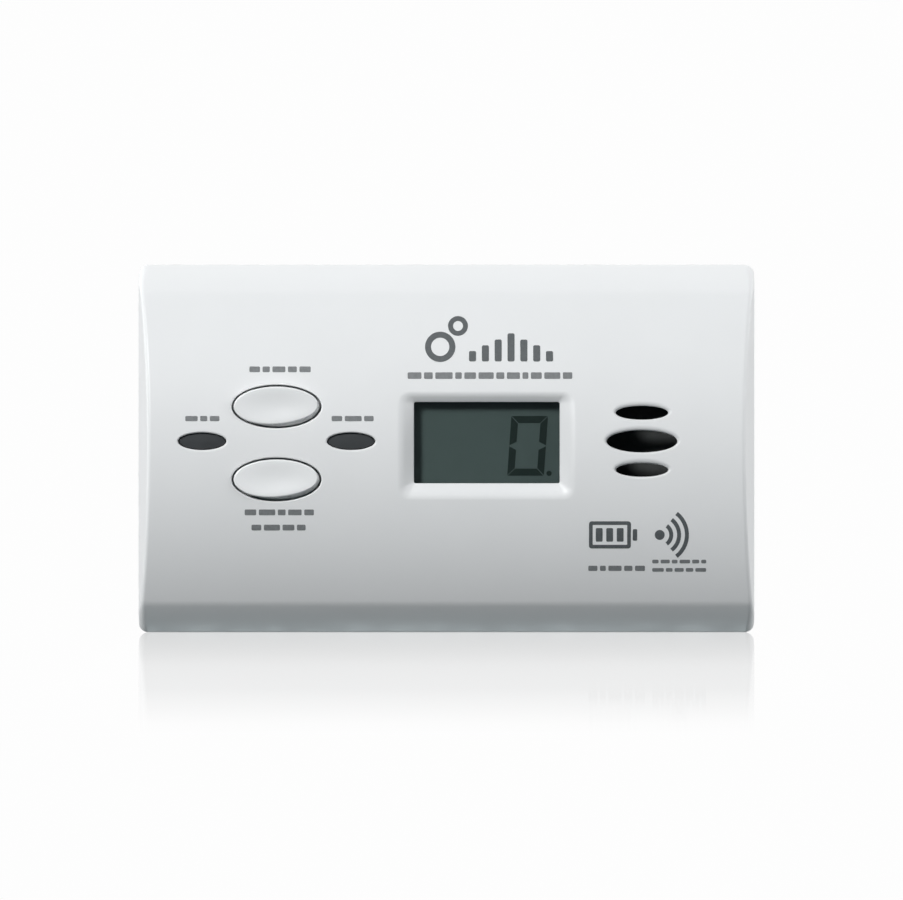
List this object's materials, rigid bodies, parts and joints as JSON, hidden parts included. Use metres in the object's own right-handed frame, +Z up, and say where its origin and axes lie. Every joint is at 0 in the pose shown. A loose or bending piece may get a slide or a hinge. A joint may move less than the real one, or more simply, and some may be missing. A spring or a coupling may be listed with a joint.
{
  "type": "carbon monoxide detector",
  "caption": "Battery-powered carbon monoxide alarm: convex oblong case, dished oval keys, lens lamps, recessed display, sounder slots, hinged rear battery door, keyholes.",
  "frame": {"origin": "middle of the flat base that the alarm stands on, halfway between the crowns of the front keys and the back face", "axes": "+X to the right seen from the front, -Y towards the front face, +Z up"},
  "size_m": [0.118, 0.04, 0.0705],
  "materials": {
    "white_case": "white satin moulded plastic",
    "white_keys": "white smooth moulded plastic",
    "holder_plastic": "white moulded plastic",
    "smoked_lens": "dark smoked transparent plastic, polished",
    "clear_window": "clear polished acrylic",
    "lcd_glass": "grey-green liquid crystal glass",
    "lcd_reflector": "matt silvered film",
    "label_film": "pale silver printed film, blank",
    "contact_rubber": "grey silicone rubber",
    "circuit_board": "green solder mask over glass fibre",
    "black_plastic": "black moulded plastic",
    "switch_plunger": "black moulded plastic",
    "capacitor_sleeve": "dark heat-shrink sleeve over an aluminium can",
    "foam": "black foam",
    "red_lamp": "red tinted clear epoxy",
    "green_lamp": "green tinted clear epoxy",
    "brass": "thin rolled brass",
    "copper_wire": "enamelled copper wire",
    "piezo_ceramic": "silvered piezo ceramic",
    "red_wire": "red insulation",
    "black_wire": "black insulation",
    "sensor_body": "off-white moulded plastic",
    "nickel": "nickel-plated steel",
    "battery_jacket": "printed metallic film jacket",
    "screw_steel": "zinc-plated steel"
  },
  "bodies": {
    "case": {"front_cover": "white_case", "rear_housing": "white_case", "lcd_holder": "holder_plastic", "alarm_lens": "smoked_lens", "power_lens": "smoked_lens", "display_window": "clear_window", "lcd_front_glass": "lcd_glass", "lcd_rear_glass": "lcd_glass", "lcd_reflector": "lcd_reflector", "upper_contact_strip": "contact_rubber", "lower_contact_strip": "contact_rubber", "circuit_board": "circuit_board", "test_switch_body": "black_plastic", "peak_switch_body": "black_plastic", "alarm_led_spacer": "black_plastic", "power_led_spacer": "black_plastic", "sounder_horn": "black_plastic", "microcontroller": "black_plastic", "boost_coil_core": "black_plastic", "capacitor_large": "capacitor_sleeve", "capacitor_small": "capacitor_sleeve", "horn_gasket": "foam", "gas_sensor_filter": "foam", "alarm_led": "red_lamp", "power_led": "green_lamp", "piezo_disc": "brass", "boost_coil_winding": "copper_wire", "piezo_ceramic": "piezo_ceramic", "piezo_wire_red": "red_wire", "piezo_wire_black": "black_wire", "gas_sensor_body": "sensor_body", "gas_sensor_cap": "nickel", "negative_terminal": "nickel", "positive_terminal": "nickel", "left_bridge_contact": "nickel", "right_bridge_contact": "nickel", "upper_battery_spring": "nickel", "middle_battery_spring": "nickel", "lower_battery_spring": "nickel", "upper_battery": "battery_jacket", "middle_battery": "battery_jacket", "lower_battery": "battery_jacket", "case_screw_1": "screw_steel", "case_screw_2": "screw_steel", "case_screw_3": "screw_steel", "case_screw_4": "screw_steel", "board_screw_1": "screw_steel", "board_screw_2": "screw_steel", "board_screw_3": "screw_steel"},
    "test_key": {"test_button": "white_keys"},
    "peak_key": {"peak_button": "white_keys"},
    "test_plunger": {"test_switch_plunger": "switch_plunger"},
    "peak_plunger": {"peak_switch_plunger": "switch_plunger"},
    "door": {"battery_door": "white_case", "rating_label": "label_film"}
  },
  "joints": [
    {"name": "test_button_press", "type": "slide", "parent": "case", "child": "test_key", "axis": [0, 1, 0], "range_m": [0, 0.0006], "stiffness_N_per_m": 2500},
    {"name": "peak_button_press", "type": "slide", "parent": "case", "child": "peak_key", "axis": [0, 1, 0], "range_m": [0, 0.0006], "stiffness_N_per_m": 2500},
    {"name": "test_switch_travel", "type": "slide", "parent": "case", "child": "test_plunger", "axis": [0, 1, 0], "range_m": [0, 0.0003]},
    {"name": "peak_switch_travel", "type": "slide", "parent": "case", "child": "peak_plunger", "axis": [0, 1, 0], "range_m": [0, 0.0003]},
    {"name": "battery_door_hinge", "type": "hinge", "parent": "case", "child": "door", "pos_m": [0, 0.01885, 0.01185], "axis": [-1, 0, 0], "range_deg": [0, 100]}
  ],
  "couplings": [
    {"joint": "test_switch_travel", "follows": "test_button_press", "ratio": 0.5},
    {"joint": "peak_switch_travel", "follows": "peak_button_press", "ratio": 0.5}
  ]
}
